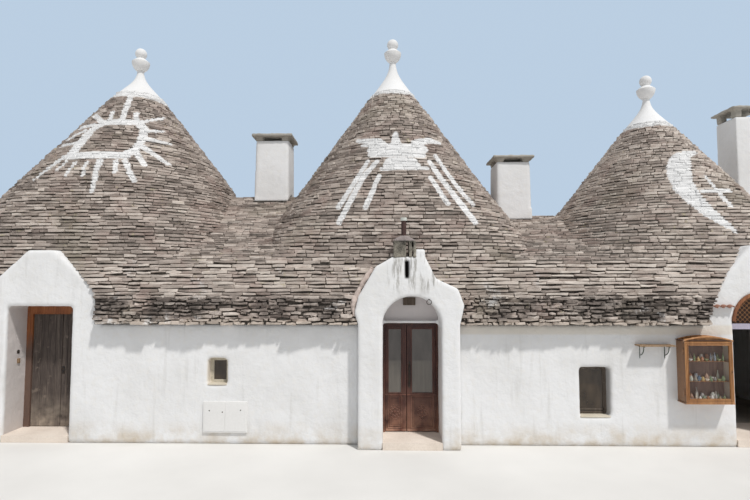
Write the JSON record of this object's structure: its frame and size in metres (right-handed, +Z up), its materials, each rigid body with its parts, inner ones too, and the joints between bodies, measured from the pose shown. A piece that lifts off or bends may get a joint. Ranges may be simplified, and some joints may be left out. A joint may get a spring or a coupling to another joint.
{
  "type": "trullo house block of three cones",
  "caption": "Row of three joined trulli under dry-stone cones, with whitewashed walls, arched door bay, chimneys and hinged doors.",
  "frame": {"origin": "on the ground under the tip of the middle cone, at the underside of its room's floor", "axes": "+X along the front to the right, +Y from the front to the back, +Z up"},
  "size_m": [19.44, 6.85, 9.027],
  "materials": {
    "whitewash": "lime whitewash on plastered masonry",
    "rough_slabs": "rough dry-laid limestone slabs with lichen",
    "roof_slabs": "fine dry-laid limestone slabs, grey-brown",
    "pinnacle_whitewash": "lime whitewash",
    "chimney_whitewash": "lime whitewash",
    "grey_slab": "weathered limestone slab",
    "floor_stone": "worn limestone paving",
    "threshold_stone": "worn pale limestone",
    "old_orange_wood": "old varnished wood, worn",
    "weathered_planks": "weathered grey-brown planks",
    "dark_door_wood": "dark red-brown varnished wood",
    "door_glass": "glass with a pale blind behind it",
    "window_wood": "weathered brown-grey paint",
    "window_pane": "dark glass",
    "lilac_lintel": "grey-lilac painted stone",
    "dark_stone": "weathered dark stone",
    "red_clay_pipe": "dark red fired clay",
    "case_wood": "orange-brown varnished wood",
    "case_glass": "clear glass",
    "shelf_wood": "red-brown wood",
    "cabinet_white": "off-white paint"
  },
  "bodies": {
    "house": {"front_wall_far_left": "whitewash", "front_wall_left": "whitewash", "front_wall_right": "whitewash", "front_wall_far_right": "whitewash", "door_bay_pier_left": "whitewash", "door_bay_pier_right": "whitewash", "back_wall": "whitewash", "end_wall_left": "whitewash", "end_wall_right": "whitewash", "cross_wall_left": "whitewash", "cross_wall_right": "whitewash", "left_gable": "whitewash", "middle_gable": "whitewash", "right_gable": "whitewash", "over_door_masonry": "whitewash", "roof_haunch_left": "rough_slabs", "roof_haunch_middle": "rough_slabs", "roof_haunch_right": "rough_slabs", "cone_left": "roof_slabs", "cone_middle": "roof_slabs", "cone_right": "roof_slabs", "left_saddle": "roof_slabs", "right_saddle": "roof_slabs", "pinnacle_left": "pinnacle_whitewash", "pinnacle_middle": "pinnacle_whitewash", "pinnacle_right": "pinnacle_whitewash", "chimney_left": "chimney_whitewash", "chimney_middle": "chimney_whitewash", "chimney_right": "chimney_whitewash", "chimney_slabs": "grey_slab", "floor": "floor_stone", "thresholds": "threshold_stone", "left_door_frame": "old_orange_wood", "middle_door_frame": "dark_door_wood", "window_frames": "window_wood", "window_glass": "window_pane", "shop_lintel": "lilac_lintel", "gable_crest": "dark_stone", "vent_pipe": "red_clay_pipe", "display_case": "case_wood", "wall_shelf": "shelf_wood", "meter_cabinet": "cabinet_white"},
    "old_door_left": {"left_door_leaf_left": "weathered_planks"},
    "old_door_right": {"left_door_leaf_right": "weathered_planks"},
    "glazed_door_left": {"middle_door_leaf_left": "dark_door_wood", "middle_door_glass_left": "door_glass"},
    "glazed_door_right": {"middle_door_leaf_right": "dark_door_wood", "middle_door_glass_right": "door_glass"},
    "case_door": {"display_case_door": "case_wood", "display_case_glass": "case_glass"}
  },
  "joints": [
    {"name": "old_door_left_hinge", "type": "hinge", "parent": "house", "child": "old_door_left", "pos_m": [-7.074, -2.57, 1], "axis": [0, 0, 1], "range_deg": [0, 92]},
    {"name": "old_door_right_hinge", "type": "hinge", "parent": "house", "child": "old_door_right", "pos_m": [-6.094, -2.57, 1], "axis": [0, 0, 1], "range_deg": [-92, 0]},
    {"name": "glazed_door_left_hinge", "type": "hinge", "parent": "house", "child": "glazed_door_left", "pos_m": [-0.199, -2.77, 1], "axis": [0, 0, 1], "range_deg": [0, 92]},
    {"name": "glazed_door_right_hinge", "type": "hinge", "parent": "house", "child": "glazed_door_right", "pos_m": [0.751, -2.77, 1], "axis": [0, 0, 1], "range_deg": [-92, 0]},
    {"name": "case_door_hinge", "type": "hinge", "parent": "house", "child": "case_door", "pos_m": [4.998, -3.423, 1.3], "axis": [0, 0, 1], "range_deg": [-100, 0]}
  ]
}
